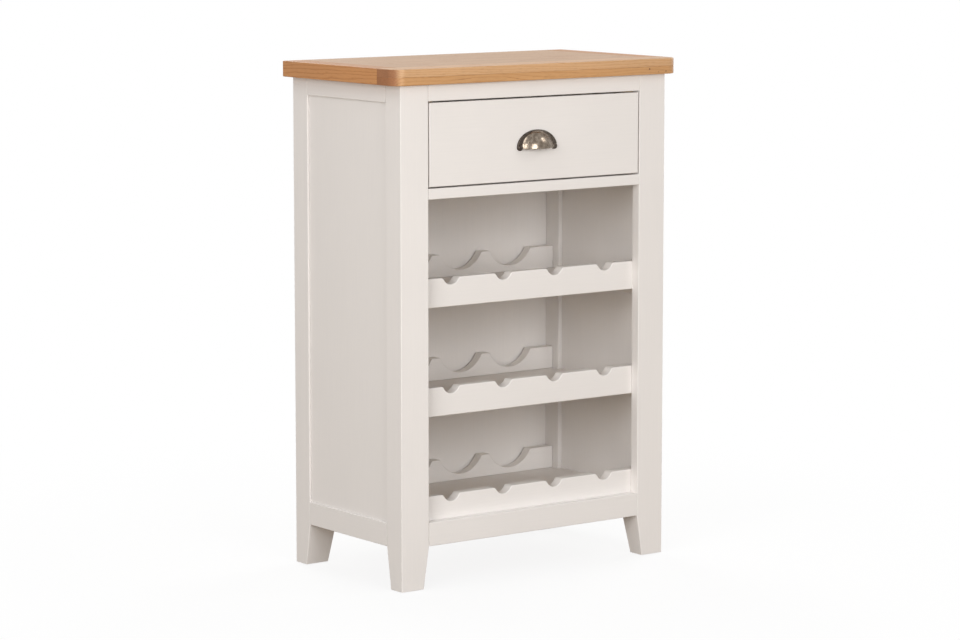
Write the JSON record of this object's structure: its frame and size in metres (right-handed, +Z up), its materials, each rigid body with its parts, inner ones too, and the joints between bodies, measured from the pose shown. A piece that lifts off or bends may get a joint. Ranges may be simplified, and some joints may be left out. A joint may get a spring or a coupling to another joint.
{
  "type": "wine cabinet",
  "caption": "Narrow freestanding wine cabinet with an oak top, a drawer with a cup pull, and open racks whose notched slats hold bottles lying down.",
  "frame": {"origin": "on the floor, under the middle of the bounding box: midway between the sides, and midway between the cup pull's nose and the back", "axes": "+Z up, +X towards the cabinet's right as seen from the front, +Y towards its back; the front faces -Y"},
  "size_m": [0.6, 0.337, 0.871],
  "materials": {
    "painted_wood": "satin off-white paint",
    "oak": "clear satin lacquer",
    "oak_top": "clear satin lacquer",
    "box_wood": "bare planed wood",
    "pewter": "antique pewter plating, polished on the dome",
    "screw_steel": "zinc plated",
    "nylon": "moulded"
  },
  "bodies": {
    "carcase": {"top_front_board_upper": "oak", "top_front_board_lower": "oak", "top_side_strip_left": "oak", "top_side_strip_right": "oak", "top_stave_1": "oak_top", "top_stave_2": "oak_top", "top_stave_3": "oak_top", "front_left_leg": "painted_wood", "front_right_leg": "painted_wood", "back_left_leg": "painted_wood", "back_right_leg": "painted_wood", "front_left_glide": "nylon", "front_right_glide": "nylon", "back_left_glide": "nylon", "back_right_glide": "nylon", "front_top_rail": "painted_wood", "front_middle_rail": "painted_wood", "front_bottom_rail": "painted_wood", "back_top_rail": "painted_wood", "back_bottom_rail": "painted_wood", "side_top_rail_left": "painted_wood", "side_top_rail_right": "painted_wood", "side_bottom_rail_left": "painted_wood", "side_bottom_rail_right": "painted_wood", "side_panel_left": "painted_wood", "side_panel_right": "painted_wood", "back_panel": "painted_wood", "dust_panel": "box_wood", "drawer_runner_left": "box_wood", "drawer_runner_right": "box_wood", "drawer_kicker_left": "box_wood", "drawer_kicker_right": "box_wood", "drawer_stop_left": "box_wood", "drawer_stop_right": "box_wood", "top_screw_left_1": "screw_steel", "top_screw_left_2": "screw_steel", "top_screw_right_1": "screw_steel", "top_screw_right_2": "screw_steel", "rack_1_front_slat": "painted_wood", "rack_1_board": "painted_wood", "rack_1_rear_rail": "painted_wood", "rack_2_front_slat": "painted_wood", "rack_2_board": "painted_wood", "rack_2_rear_rail": "painted_wood", "rack_2_cleat_left": "painted_wood", "rack_2_cleat_right": "painted_wood", "rack_3_front_slat": "painted_wood", "rack_3_board": "painted_wood", "rack_3_rear_rail": "painted_wood", "rack_3_cleat_left": "painted_wood", "rack_3_cleat_right": "painted_wood"},
    "drawer": {"drawer_front": "painted_wood", "drawer_side_left": "box_wood", "drawer_side_right": "box_wood", "drawer_back": "box_wood", "drawer_bottom": "box_wood", "cup_pull": "pewter", "pull_screw_left": "screw_steel", "pull_screw_right": "screw_steel"}
  },
  "joints": [
    {"name": "drawer_slide", "type": "slide", "parent": "carcase", "child": "drawer", "axis": [0, -1, 0], "range_m": [0, 0.22]}
  ]
}
